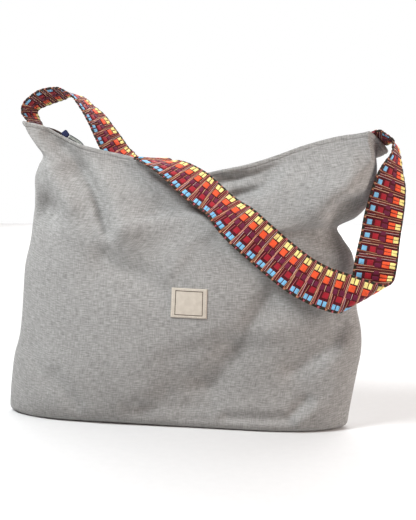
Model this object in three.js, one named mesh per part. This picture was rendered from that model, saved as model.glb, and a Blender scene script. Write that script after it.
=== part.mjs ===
// A soft linen shopping bag with one woven shoulder strap that hangs across its front
import * as THREE from "three";
import { RoundedBoxGeometry } from "three/addons/geometries/RoundedBoxGeometry.js";

// Sizes in millimetres: +X to the right, +Y to the back, +Z up, the floor at zero
const LINEN_THICKNESS = 1.8;
const HEM_THICKNESS = 2.8;
const HEM_HEIGHT = 6;
const SEAM_GAP = 0.4;
const PIECE_GAP = 0.3;
const LAY_GAP = 1;
const STRAP_WIDTH = 50;
const STRAP_THICKNESS = 2;
const MIDDLE = { x: 2.8, y: -5 };
const LABEL = { x: 6.5, z: 163, width: 45, height: 36, thickness: 1.2, turn: -0.02 };
const TAPE = { width: 5, thickness: 1.2 };
const TAB = { width: 8, depth: 3.4, height: 9, edge: 1 };

// How finely the surfaces are divided
const COLUMNS = 36;
const LEVELS = 25;
const BASE_ROWS = 2;
const STRAP_STEPS = 3;
const STRAP_COLUMNS = 4;
const BEND_STEPS = 14;
const LABEL_STEPS = { across: 8, up: 6 };

// Level sections of the bag, from the edge of the base (rise 0) to the rim (rise 1).
// left and right: where the side seams stand. front and back: how far each panel bellies out
// from the seams at the middle. tip: the same beside the seams. blunt: the share of the half
// width over which the panel turns in to the seam.
const SECTIONS = [
  { rise: 0.0, left: -258, right: 200, front: 40, back: 38, tip: 40, blunt: 0.55 },
  { rise: 0.05, left: -256, right: 202, front: 50, back: 45, tip: 50, blunt: 0.6 },
  { rise: 0.12, left: -253, right: 206, front: 56, back: 49, tip: 56, blunt: 0.7 },
  { rise: 0.2, left: -248, right: 211, front: 60, back: 52, tip: 58, blunt: 0.8 },
  { rise: 0.27, left: -240, right: 215, front: 62, back: 52, tip: 58, blunt: 0.9 },
  { rise: 0.34, left: -236, right: 214, front: 62, back: 52, tip: 57, blunt: 0.95 },
  { rise: 0.42, left: -233, right: 208, front: 61, back: 51, tip: 54, blunt: 1.0 },
  { rise: 0.52, left: -229, right: 206, front: 59, back: 49, tip: 50, blunt: 0.95 },
  { rise: 0.6, left: -221, right: 201, front: 56, back: 46, tip: 46, blunt: 0.85 },
  { rise: 0.655, left: -217, right: 188, front: 54, back: 43, tip: 43, blunt: 0.75 },
  { rise: 0.69, left: -215, right: 183, front: 52, back: 41, tip: 41, blunt: 0.65 },
  { rise: 0.72, left: -213, right: 204, front: 50, back: 39, tip: 39, blunt: 0.55 },
  { rise: 0.77, left: -212, right: 220, front: 46, back: 35, tip: 36, blunt: 0.42 },
  { rise: 0.82, left: -211, right: 226, front: 39, back: 30, tip: 33, blunt: 0.28 },
  { rise: 0.86, left: -204, right: 228, front: 32, back: 25, tip: 31.5, blunt: 0.15 },
  { rise: 0.89, left: -196, right: 228, front: 26, back: 21.5, tip: 31, blunt: 0.075 },
  { rise: 0.92, left: -201, right: 227, front: 21, back: 18, tip: 31, blunt: 0.035 },
  { rise: 0.96, left: -210, right: 228, front: 14, back: 13, tip: 31, blunt: 0.02 },
  { rise: 1.0, left: -217, right: 232, front: 9, back: 9, tip: 31, blunt: 0.015 },
];

// Height of the rim across the bag, from the left seam (-1) to the right seam (1), at the front and the back
const RIM = [
  { across: -1.0, front: 387, back: 387 },
  { across: -0.88, front: 381.5, back: 380 },
  { across: -0.76, front: 367, back: 364 },
  { across: -0.66, front: 357.5, back: 348 },
  { across: -0.52, front: 349.5, back: 332 },
  { across: -0.36, front: 341, back: 326 },
  { across: -0.3, front: 334, back: 322 },
  { across: -0.22, front: 322, back: 315 },
  { across: -0.05, front: 318, back: 313 },
  { across: 0.13, front: 325, back: 320 },
  { across: 0.29, front: 332, back: 328 },
  { across: 0.44, front: 342, back: 339 },
  { across: 0.59, front: 353.5, back: 351 },
  { across: 0.74, front: 362, back: 360 },
  { across: 0.88, front: 366.5, back: 365.5 },
  { across: 1.0, front: 368.5, back: 368.5 },
];

// The base: how far its corners lift, and how much of the width the seam along it takes
const BASE = { cornerRise: 2, flat: 0.75, seam: 0.86 };

// The way the rounded ends close, and how the belly gives way to the tip
const ROUND = { inner: 2.4, outer: 1.7, belly: 3 };

// The right tip is drawn askew by the strap: its back corner stands further out and lower
const RIGHT_TIP = { skew: 0.43, drop: 20, fromAcross: 0.8, fromRise: 0.9 };

// Folds of the front panel: a line from (x1, z1) to (x2, z2), its half width, and its height
// (outwards where positive, inwards where negative)
const FRONT_FOLDS = [
  { x1: -172, z1: 348, x2: -146, z2: 322, width: 16, height: -5 },
  { x1: -146, z1: 322, x2: -117, z2: 262, width: 16, height: -7 },
  { x1: -180, z1: 325, x2: -150, z2: 285, width: 17, height: 5 },
  { x1: -46, z1: 298, x2: 14, z2: 294, width: 24, height: -9 },
  { x1: -68, z1: 259, x2: 50, z2: 272, width: 20, height: 4 },
  { x1: 30, z1: 310, x2: 79, z2: 296, width: 17, height: -5 },
  { x1: 130, z1: 302, x2: 190, z2: 305, width: 25, height: 6 },
  { x1: 190, z1: 256, x2: 140, z2: 266, width: 15, height: -10 },
  { x1: 140, z1: 266, x2: 104, z2: 280, width: 16, height: -6 },
  { x1: 114, z1: 191, x2: 26, z2: 62, width: 18, height: -4 },
  { x1: 190, z1: 136, x2: 136, z2: 85, width: 17, height: -5 },
  { x1: -186, z1: 281, x2: -180, z2: 276, width: 18, height: -5 },
  { x1: -99, z1: 212, x2: -42, z2: 188, width: 22, height: -3 },
];

// Folds of the back panel, which is not seen: a few soft hollows in the same manner
const BACK_FOLDS = [
  { x1: -150, z1: 330, x2: -90, z2: 240, width: 16, height: -6 },
  { x1: 150, z1: 320, x2: 80, z2: 240, width: 18, height: -6 },
  { x1: -30, z1: 290, x2: 60, z2: 285, width: 22, height: -5 },
  { x1: 190, z1: 256, x2: 150, z2: 250, width: 14, height: -8 },
  { x1: -120, z1: 60, x2: -30, z2: 150, width: 18, height: -4 },
];

// The strap, as the two edges of the band at places along it: first from inside the left tip, over
// the arch and down to the rim
const STRAP_ARCH = [
  { front: [-199.5, -25, 368], back: [-199.5, 25, 368] },
  { front: [-210, -25, 387], back: [-210, 25, 387] },
  { front: [-217.5, -25, 398], back: [-216.5, 25, 402] },
  { front: [-215, -25, 409], back: [-214, 24, 408] },
  { front: [-208, -23, 417], back: [-206, 25, 412] },
  { front: [-196, -21, 425], back: [-193, 27, 416] },
  { front: [-182, -20, 428], back: [-178, 28, 420] },
  { front: [-168, -18, 426], back: [-164, 30, 424] },
  { front: [-154, -17, 419], back: [-152, 31, 421] },
  { front: [-143, -15, 405], back: [-143, 32, 413] },
  { front: [-132, -11, 385], back: [-127, 33, 400] },
  { front: [-125, -8, 368], back: [-116, 34, 384] },
  { front: [-119, -5, 353], back: [-106, 36, 368] },
  { front: [-111, -3, 340], back: [-95, 38, 351] },
  { front: [-100, -3, 333], back: [-80, 39, 341] },
  { front: [-83, -3, 335.5], back: [-63, 41, 337] },
];

// Then over the rim and down the front. A null depth means that the band lies on the panel there.
const STRAP_FRONT = [
  { front: [-69, -1, 341], back: [-49, 41, 336.5] },
  { front: [-60, -11, 342], back: [-41, 33, 337.5] },
  { front: [-53, -25, 337], back: [-36, 20, 340] },
  { front: [-45, -34, 329], back: [-31, 9, 339.5] },
  { front: [-25, -40, 314], back: [-4, -5, 332] },
  { front: [-1, -46, 292], back: [24, -17, 317] },
  { front: [28, -54, 265], back: [57, null, 297] },
  { front: [61, null, 233], back: [92, null, 270] },
  { front: [92, null, 206], back: [123, null, 242] },
  { front: [129, -61, 182], back: [151, -60, 218] },
  { front: [157, -57, 168], back: [175, -57, 204] },
];

// The bend at the lower right, where the band turns up behind itself: where it starts, which way
// the band heads before and after, and how much of its length is taken by the bend
const BEND = { start: [200, -56, 175], heading: [0.955, 0, -0.297], turned: [0.141, 0, 0.99] };
const BEND_RADIUS = 11;
const BEND_LENGTH = { from: -22, to: 68, lead: 12 };

// From the bend up to the right tip
const STRAP_UP = [
  { front: [216, -38, 241], back: [258, -12, 239] },
  { front: [221, -37, 264], back: [261, -5, 263] },
  { front: [227, -35, 288], back: [263, 1, 285] },
  { front: [232, -33, 311], back: [264, 9, 305] },
  { front: [236, -29, 329], back: [260, 15, 328] },
  { front: [242, -27, 342], back: [258, 18, 339] },
  { front: [241, -25, 354], back: [256, 20, 347] },
  { front: [234, -24.5, 362], back: [252, 20.5, 351.5] },
  { front: [224, -21, 369.5], back: [243, 23, 357.3] },
  { front: [213.5, -22, 364], back: [232.5, 22, 352.3] },
  { front: [210.5, -24.5, 351], back: [223.5, 23.5, 343] },
];

// The tape of the pull, from where it is sewn behind the front rim up to its tab
const PULL_TAPE = [
  { x: -139, z: 350 },
  { x: -144, z: 358 },
  { x: -151, z: 363.5 },
  { x: -159.5, z: 368.5 },
];
const PULL_TAB = { x: -165, z: 371.5 };

// Straight blend, and blend with soft ends
function mix(from, to, share) {
  return from + (to - from) * share;
}

function soft(value, from, to) {
  const share = THREE.MathUtils.clamp((value - from) / (to - from), 0, 1);
  return share * share * (3 - 2 * share);
}

// A smooth curve through one column of a table
function column(table, key, name, at) {
  let row = 0;
  while (row < table.length - 2 && table[row + 1][key] < at) {
    row += 1;
  }
  const slope = (index) => {
    const low = table[Math.max(index - 1, 0)];
    const high = table[Math.min(index + 1, table.length - 1)];
    return (high[name] - low[name]) / (high[key] - low[key]);
  };
  const low = table[row];
  const high = table[row + 1];
  const span = high[key] - low[key];
  const t = THREE.MathUtils.clamp((at - low[key]) / span, 0, 1);
  const keep = (1 + 2 * t) * (1 - t) * (1 - t);
  const lowSlope = t * (1 - t) * (1 - t) * span * slope(row);
  const highSlope = t * t * (t - 1) * span * slope(row + 1);
  return keep * low[name] + (1 - keep) * high[name] + lowSlope + highSlope;
}

// How far a set of folds moves the cloth outwards at one place
function foldHeight(folds, x, z) {
  let height = 0;
  for (const fold of folds) {
    const runX = fold.x2 - fold.x1;
    const runZ = fold.z2 - fold.z1;
    const along = ((x - fold.x1) * runX + (z - fold.z1) * runZ) / (runX * runX + runZ * runZ);
    const near = THREE.MathUtils.clamp(along, 0, 1);
    const away = Math.hypot(x - fold.x1 - near * runX, z - fold.z1 - near * runZ);
    height += fold.height * Math.exp(-((away / fold.width) ** 2));
  }
  return height;
}

// Height of the edge of the base: flat, with the corners a little lifted
function baseHeight(across) {
  return BASE.cornerRise * soft(Math.abs(across), BASE.flat, 1) ** 2;
}

// A point of the outside of the bag on the front (side -1) or the back (side 1)
function wallPoint(side, across, rise) {
  const of = (name) => column(SECTIONS, "rise", name, rise);
  const left = of("left");
  const right = of("right");
  const reach = Math.abs(across);
  const blunt = of("blunt");
  const turn = THREE.MathUtils.clamp((reach - 1 + blunt) / blunt, 0, 1);
  const belly = mix(of(side < 0 ? "front" : "back"), of("tip"), reach ** ROUND.belly);
  const depth = belly * (1 - turn ** ROUND.inner) ** (1 / ROUND.outer);
  const x = mix(left, right, (across + 1) / 2);
  const rim = column(RIM, "across", side < 0 ? "front" : "back", across);
  const z = mix(baseHeight(across), rim, rise);
  const folds = side < 0 ? FRONT_FOLDS : BACK_FOLDS;
  const fade = soft(rise, 0.03, 0.1) * soft(1 - reach, 0, 0.16);
  const out = Math.max(depth + fade * foldHeight(folds, x, z), SEAM_GAP / 2);
  const askew = soft(across, RIGHT_TIP.fromAcross, 1) * soft(rise, RIGHT_TIP.fromRise, 1);
  const y = side * out;
  const drop = (RIGHT_TIP.drop * (y + of("tip"))) / (2 * of("tip"));
  return new THREE.Vector3(x + askew * RIGHT_TIP.skew * y, y, z - askew * drop);
}

// A point of the base, from the seam along its middle (share 0) to its edge (share 1)
function basePoint(side, across, share) {
  const edge = wallPoint(side, across, 0);
  const inner = across * BASE.seam;
  const x = mix(SECTIONS[0].left, SECTIONS[0].right, (inner + 1) / 2);
  const seam = new THREE.Vector3(x, (side * SEAM_GAP) / 2, baseHeight(inner));
  return seam.lerp(edge, share);
}

// The rows of a panel: the base, the wall, and the hem at the rim
function panelRows(side) {
  const hemRise = 1 - HEM_HEIGHT / RIM[0].front;
  const rows = [];
  for (let row = 0; row < BASE_ROWS; row += 1) {
    const at = (across) => basePoint(side, across, row / BASE_ROWS);
    rows.push({ at, thickness: LINEN_THICKNESS });
  }
  for (let level = 0; level <= LEVELS; level += 1) {
    const rise = (level / LEVELS) * (hemRise - 0.004);
    rows.push({ at: (across) => wallPoint(side, across, rise), thickness: LINEN_THICKNESS });
  }
  for (const rise of [hemRise, 1]) {
    rows.push({ at: (across) => wallPoint(side, across, rise), thickness: HEM_THICKNESS });
  }
  return rows;
}

// A closed solid between two grids of points of the same size
function slab(outer, inner, flip) {
  const rows = outer.length;
  const columns = outer[0].length;
  const points = [...outer.flat(), ...inner.flat()];
  const positions = points.flatMap((point) => [point.x, point.y, point.z]);
  const back = rows * columns;
  const index = [];
  const quad = (a, b, c, d) => {
    index.push(...(flip ? [a, c, b, a, d, c] : [a, b, c, a, c, d]));
  };
  const at = (row, place) => row * columns + place;
  for (let row = 0; row < rows - 1; row += 1) {
    for (let place = 0; place < columns - 1; place += 1) {
      const [a, b] = [at(row, place), at(row, place + 1)];
      const [c, d] = [at(row + 1, place + 1), at(row + 1, place)];
      quad(a, b, c, d);
      quad(a + back, d + back, c + back, b + back);
    }
    const ends = [at(row, 0), at(row + 1, 0)];
    quad(ends[0], ends[1], ends[1] + back, ends[0] + back);
    const others = [at(row, columns - 1), at(row + 1, columns - 1)];
    quad(others[1], others[0], others[0] + back, others[1] + back);
  }
  for (let place = 0; place < columns - 1; place += 1) {
    quad(at(0, place + 1), at(0, place), at(0, place) + back, at(0, place + 1) + back);
    const top = at(rows - 1, place);
    quad(top, top + 1, top + 1 + back, top + back);
  }
  const geometry = new THREE.BufferGeometry();
  geometry.setAttribute("position", new THREE.Float32BufferAttribute(positions, 3));
  geometry.setIndex(index);
  geometry.computeVertexNormals();
  return geometry;
}

// A grid of points given a thickness, outwards and inwards. Seamed edges stay upright to the seam.
function thicken(grid, sign, outwards, inwards, seamed) {
  const last = grid[0].length - 1;
  const normals = grid.map((points, row) =>
    points.map((point, place) => {
      const across = points[Math.min(place + 1, last)].clone().sub(points[Math.max(place - 1, 0)]);
      const above = grid[Math.min(row + 1, grid.length - 1)][place];
      const along = above.clone().sub(grid[Math.max(row - 1, 0)][place]);
      const normal = across.cross(along).multiplyScalar(sign);
      if (seamed && (place === 0 || place === last || row === 0)) {
        normal.y = 0;
      }
      return normal.normalize();
    }),
  );
  const shifted = (amount) =>
    grid.map((points, row) =>
      points.map((point, place) => point.clone().addScaledVector(normals[row][place], amount(row))),
    );
  return slab(shifted(outwards), shifted((row) => -inwards(row)), sign < 0);
}

// One panel of the bag, as a wall of cloth
function panelGeometry(side) {
  const rows = panelRows(side);
  const places = Array.from({ length: COLUMNS + 1 }, (_, place) => -Math.cos((Math.PI * place) / COLUMNS));
  const grid = rows.map((row) => places.map((across) => row.at(across)));
  return thicken(grid, -side, () => 0, (row) => rows[row].thickness, true);
}

// Depth of a mesh at one place, looking along Y
function depthAt(mesh, x, z, from, towards) {
  const ray = new THREE.Raycaster(new THREE.Vector3(x, from, z), new THREE.Vector3(0, towards, 0));
  const hits = ray.intersectObject(mesh);
  return hits.length > 0 ? hits[0].point.y : null;
}

// Rows of points across a band that runs through places given by its two edges
function bandRows(places, width, columns) {
  const centres = places.map((place) => place.front.clone().add(place.back).multiplyScalar(0.5));
  const leans = places.map((place) => place.back.clone().sub(place.front).normalize());
  const route = new THREE.CatmullRomCurve3(centres, false, "centripetal");
  const lean = new THREE.CatmullRomCurve3(leans, false, "centripetal");
  const count = (places.length - 1) * STRAP_STEPS;
  const rows = [];
  for (let step = 0; step <= count; step += 1) {
    const centre = route.getPoint(step / count);
    const along = route.getTangent(step / count);
    const across = lean.getPoint(step / count);
    across.addScaledVector(along, -across.dot(along)).normalize();
    const points = [];
    for (let place = 0; place <= columns; place += 1) {
      points.push(centre.clone().addScaledVector(across, (place / columns - 0.5) * width));
    }
    rows.push(points);
  }
  return rows;
}

function bandGeometry(rows, thickness) {
  return thicken(rows, 1, () => thickness / 2, () => thickness / 2, false);
}

// A row of points across the strap where it rolls over in the bend
function bendRow(length) {
  const start = new THREE.Vector3(...BEND.start);
  const heading = new THREE.Vector3(...BEND.heading).normalize();
  const axis = heading.clone().add(new THREE.Vector3(...BEND.turned).normalize()).normalize();
  const lead = heading.dot(axis);
  const swing = Math.sqrt(1 - lead * lead);
  const out = heading.clone().addScaledVector(axis, -lead).normalize();
  const half = Math.PI * BEND_RADIUS;
  const points = [];
  for (let place = 0; place <= STRAP_COLUMNS; place += 1) {
    const aside = (0.5 - place / STRAP_COLUMNS) * STRAP_WIDTH;
    const run = length * swing + aside * lead;
    const angle = THREE.MathUtils.clamp(run, 0, half) / BEND_RADIUS;
    const straight = Math.min(run, 0) - Math.max(run - half, 0);
    const point = start.clone().addScaledVector(axis, length * lead - aside * swing);
    point.addScaledVector(out, BEND_RADIUS * Math.sin(angle) + straight);
    point.y += BEND_RADIUS * (1 - Math.cos(angle));
    points.push(point);
  }
  return points;
}

// The two edges of the strap in the bend, to lead the rest of the band in and out of it
function bendPlace(length) {
  const points = bendRow(length);
  return { front: points[0], back: points[STRAP_COLUMNS] };
}

// The strap, laid on the front panel where its table says so
function strapRows(panel) {
  const lift = STRAP_THICKNESS / 2 + PIECE_GAP;
  const edge = ([x, y, z]) => new THREE.Vector3(x, y ?? depthAt(panel, x, z, -400, 1) - lift, z);
  const place = (row) => ({ front: edge(row.front), back: edge(row.back) });
  const { from, to, lead } = BEND_LENGTH;
  const over = [...STRAP_ARCH, ...STRAP_FRONT].map(place);
  over.push(bendPlace(from), bendPlace(from + lead));
  const up = [bendPlace(to - lead), bendPlace(to), ...STRAP_UP.map(place)];
  const before = bandRows(over, STRAP_WIDTH, STRAP_COLUMNS).slice(0, -STRAP_STEPS);
  const after = bandRows(up, STRAP_WIDTH, STRAP_COLUMNS).slice(STRAP_STEPS);
  const bend = [];
  for (let step = 1; step < BEND_STEPS; step += 1) {
    bend.push(bendRow(from + ((to - from) * step) / BEND_STEPS));
  }
  const laid = before.slice(STRAP_ARCH.length * STRAP_STEPS);
  const push = laid.map((points) => {
    const depths = points.map((point) => depthAt(panel, point.x, point.z, -400, 1));
    const into = points.map((point, index) => point.y + lift + LAY_GAP - (depths[index] ?? Infinity));
    return Math.max(0, ...into);
  });
  laid.forEach((points, row) => {
    const most = Math.max(...push.slice(Math.max(row - 1, 0), row + 2));
    points.forEach((point) => {
      point.y -= most;
    });
  });
  return [...before, ...bend, ...after];
}

// The label, bent to the front panel
function labelGeometry(panel) {
  const face = (lift) => {
    const rows = [];
    for (let row = 0; row <= LABEL_STEPS.up; row += 1) {
      const points = [];
      for (let place = 0; place <= LABEL_STEPS.across; place += 1) {
        const right = (place / LABEL_STEPS.across - 0.5) * LABEL.width;
        const up = (row / LABEL_STEPS.up - 0.5) * LABEL.height;
        const x = LABEL.x + right * Math.cos(LABEL.turn) - up * Math.sin(LABEL.turn);
        const z = LABEL.z + right * Math.sin(LABEL.turn) + up * Math.cos(LABEL.turn);
        points.push(new THREE.Vector3(x, depthAt(panel, x, z, -400, 1) - lift, z));
      }
      rows.push(points);
    }
    return rows;
  };
  return slab(face(PIECE_GAP + LABEL.thickness), face(PIECE_GAP), false);
}

// The tape of the pull, close behind the front wall and its hem
function tapePlaces(panel) {
  const walls = PULL_TAPE.flatMap((row) => [0, 4, 8, 12].map((below) => depthAt(panel, row.x + 4, row.z - below, 0, -1)));
  const depth = Math.max(...walls.filter((wall) => wall !== null)) + LAY_GAP + TAPE.thickness / 2;
  return PULL_TAPE.map((row, index) => {
    const next = PULL_TAPE[Math.min(index + 1, PULL_TAPE.length - 1)];
    const last = PULL_TAPE[Math.max(index - 1, 0)];
    const along = new THREE.Vector3(next.x - last.x, 0, next.z - last.z).normalize();
    const half = new THREE.Vector3(along.z, 0, -along.x).multiplyScalar(TAPE.width / 2);
    const centre = new THREE.Vector3(row.x, depth, row.z);
    return { front: centre.clone().sub(half), back: centre.clone().add(half) };
  });
}

function piece(name, geometry, color, roughness) {
  const mesh = new THREE.Mesh(geometry, new THREE.MeshStandardMaterial({ color, roughness }));
  mesh.name = name;
  return mesh;
}

const bag = new THREE.Group();
bag.name = "shopping_bag";
const front = piece("front_panel", panelGeometry(-1), 0xa39a8e, 0.95);
const back = piece("back_panel", panelGeometry(1), 0xa39a8e, 0.95);
const strap = piece("strap", bandGeometry(strapRows(front), STRAP_THICKNESS), 0x8a2f2a, 0.85);
const label = piece("label", labelGeometry(front), 0xcfc2b0, 0.7);
const tape = tapePlaces(front);
const tapeBand = bandGeometry(bandRows(tape, TAPE.width, 1), TAPE.thickness);
const pullLoop = piece("pull_loop", tapeBand, 0x8b8f93, 0.9);
const tabBox = new RoundedBoxGeometry(TAB.width, TAB.depth, TAB.height, 1, TAB.edge);
const pullTab = piece("pull_tab", tabBox, 0x1d2440, 0.8);
const tabLift = (TAB.depth - TAPE.thickness) / 2;
pullTab.position.set(PULL_TAB.x, tape[tape.length - 1].front.y + tabLift, PULL_TAB.z);
bag.add(front, back, strap, label, pullLoop, pullTab);

// The origin lies on the floor under the middle of the whole, strap and all
bag.position.set(-MIDDLE.x, -MIDDLE.y, 0);

export default bag;
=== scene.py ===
# Looks of a linen shopping bag: folded panels with a stitched hem, a woven strap, a label and a pull
import math

import bpy
import numpy as np
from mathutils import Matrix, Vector, noise
from mathutils.bvhtree import BVHTree


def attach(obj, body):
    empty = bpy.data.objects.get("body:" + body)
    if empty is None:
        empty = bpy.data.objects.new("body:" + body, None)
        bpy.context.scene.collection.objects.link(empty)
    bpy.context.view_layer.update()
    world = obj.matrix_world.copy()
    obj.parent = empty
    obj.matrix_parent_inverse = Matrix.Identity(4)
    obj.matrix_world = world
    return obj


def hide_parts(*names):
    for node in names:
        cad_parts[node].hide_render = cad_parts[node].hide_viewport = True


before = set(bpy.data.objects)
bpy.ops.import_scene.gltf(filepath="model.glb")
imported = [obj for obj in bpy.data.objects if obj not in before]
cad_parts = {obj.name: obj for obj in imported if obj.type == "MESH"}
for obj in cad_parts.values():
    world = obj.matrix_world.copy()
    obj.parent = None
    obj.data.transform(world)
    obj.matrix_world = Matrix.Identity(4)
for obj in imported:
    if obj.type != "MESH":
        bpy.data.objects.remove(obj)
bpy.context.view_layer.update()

# Sizes in metres. The tables count from the bag's own middle; MIDDLE is where the origin lies in them.
MIDDLE = np.array([0.0028, -0.005, 0.0])
LINEN_THICKNESS = 0.0018
SEAM_GAP = 0.0001
BASE_LIFT = 0.0004
STRAP_WIDTH = 0.05
STRAP_LIFT = 0.0016
PANEL_COLUMNS = 200
PANEL_LEVELS = 180
BASE_ROWS = 16
ROUNDING = {"passes": 10, "rows": 4}
STRAP_STEPS = 8
STRAP_COLUMNS = 20
BEND_STEPS = 60
TINY = 1e-12
LEAST_GAP = 1e-6

# Level sections of the bag, from the base (rise 0) to the rim (rise 1): where the side seams stand, how far
# each panel bellies out at the middle and beside the seams, and the share of the half width where it turns in
SECTION_NAMES = ("rise", "left", "right", "front", "back", "tip", "blunt")
SECTIONS = (
    (0.00, -0.258, 0.200, 0.040, 0.038, 0.040, 0.55),
    (0.05, -0.256, 0.202, 0.050, 0.045, 0.050, 0.60),
    (0.12, -0.253, 0.206, 0.056, 0.049, 0.056, 0.70),
    (0.20, -0.248, 0.211, 0.060, 0.052, 0.058, 0.80),
    (0.27, -0.240, 0.215, 0.062, 0.052, 0.058, 0.90),
    (0.34, -0.236, 0.214, 0.062, 0.052, 0.057, 0.95),
    (0.42, -0.233, 0.208, 0.061, 0.051, 0.054, 1.00),
    (0.52, -0.229, 0.206, 0.059, 0.049, 0.050, 0.95),
    (0.60, -0.221, 0.201, 0.056, 0.046, 0.046, 0.85),
    (0.655, -0.217, 0.188, 0.054, 0.043, 0.043, 0.75),
    (0.69, -0.215, 0.183, 0.052, 0.041, 0.041, 0.65),
    (0.72, -0.213, 0.204, 0.050, 0.039, 0.039, 0.55),
    (0.77, -0.212, 0.220, 0.046, 0.035, 0.036, 0.42),
    (0.82, -0.211, 0.226, 0.039, 0.030, 0.033, 0.28),
    (0.86, -0.204, 0.228, 0.032, 0.025, 0.0315, 0.15),
    (0.89, -0.196, 0.228, 0.026, 0.0215, 0.031, 0.075),
    (0.92, -0.201, 0.227, 0.021, 0.018, 0.031, 0.035),
    (0.96, -0.210, 0.228, 0.014, 0.013, 0.031, 0.02),
    (1.00, -0.217, 0.232, 0.009, 0.009, 0.031, 0.015),
)

# Height of the rim across the bag, from the left seam (-1) to the right seam (1), at the front and the back
RIM_NAMES = ("across", "front", "back")
RIM = (
    (-1.00, 0.3870, 0.3870),
    (-0.88, 0.3815, 0.3800),
    (-0.76, 0.3670, 0.3640),
    (-0.66, 0.3575, 0.3480),
    (-0.52, 0.3495, 0.3320),
    (-0.36, 0.3410, 0.3260),
    (-0.30, 0.3340, 0.3220),
    (-0.22, 0.3220, 0.3150),
    (-0.05, 0.3180, 0.3130),
    (0.13, 0.3250, 0.3200),
    (0.29, 0.3320, 0.3280),
    (0.44, 0.3420, 0.3390),
    (0.59, 0.3535, 0.3510),
    (0.74, 0.3620, 0.3600),
    (0.88, 0.3665, 0.3655),
    (1.00, 0.3685, 0.3685),
)

# The base's corners and seam, the roundness of the ends, and the right tip that the strap draws askew
BASE = {"corner_rise": 0.002, "flat": 0.75, "seam": 0.86}
ROUND = {"inner": 2.4, "outer": 1.7, "belly": 3}
RIGHT_TIP = {"skew": 0.43, "drop": 0.020, "from_across": 0.8, "from_rise": 0.9}

# Folds: a line from (x1, z1) to (x2, z2), its half width, and its height, negative where it sinks in
FRONT_FOLDS = (
    (-0.172, 0.348, -0.146, 0.322, 0.016, -0.005),
    (-0.146, 0.322, -0.117, 0.262, 0.016, -0.007),
    (-0.18, 0.325, -0.15, 0.285, 0.017, 0.005),
    (-0.068, 0.259, 0.05, 0.272, 0.02, 0.004),
    (0.03, 0.31, 0.079, 0.296, 0.017, -0.005),
    (0.13, 0.302, 0.19, 0.305, 0.025, 0.006),
    (0.114, 0.191, 0.026, 0.062, 0.018, -0.004),
    (0.19, 0.136, 0.136, 0.085, 0.017, -0.005),
    (-0.186, 0.281, -0.18, 0.276, 0.018, -0.005),
    (-0.099, 0.212, -0.042, 0.188, 0.022, -0.003),
)
BACK_FOLDS = (
    (-0.15, 0.33, -0.09, 0.24, 0.016, -0.006),
    (0.15, 0.32, 0.08, 0.24, 0.018, -0.006),
    (-0.03, 0.29, 0.06, 0.285, 0.022, -0.005),
    (0.19, 0.256, 0.15, 0.25, 0.014, -0.008),
    (-0.12, 0.06, -0.03, 0.15, 0.018, -0.004),
)

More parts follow.
